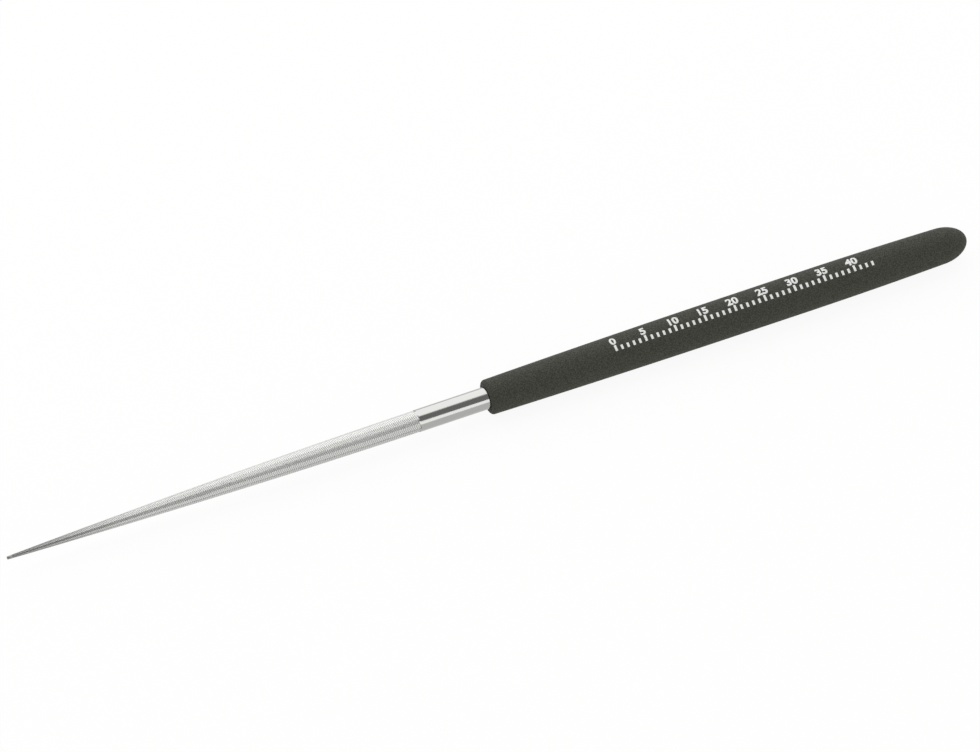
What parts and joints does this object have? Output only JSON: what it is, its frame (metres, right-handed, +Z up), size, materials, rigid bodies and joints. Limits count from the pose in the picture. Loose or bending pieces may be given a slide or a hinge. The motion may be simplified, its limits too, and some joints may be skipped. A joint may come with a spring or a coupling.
{
  "type": "round hobby file",
  "caption": "Slim round needle file: a tapered toothed steel blade and plain shank in a smooth moulded vinyl grip with a printed scale.",
  "frame": {"origin": "on the file's axis, at the shoulder where the bare steel shank ends and the hidden tang begins, at the grip's mouth", "axes": "+X along the axis towards the tip of the blade, +Z up from the surface that the file lies on"},
  "size_m": [0.16, 0.0062, 0.0062],
  "materials": {
    "blade_steel": "bright plated tool steel, satin where the teeth are and polished on the shank",
    "grip_vinyl": "smooth matte black vinyl",
    "scale_ink": "thin matte white ink"
  },
  "bodies": {
    "root": {"file_blade": "blade_steel", "grip": "grip_vinyl"}
  },
  "joints": []
}
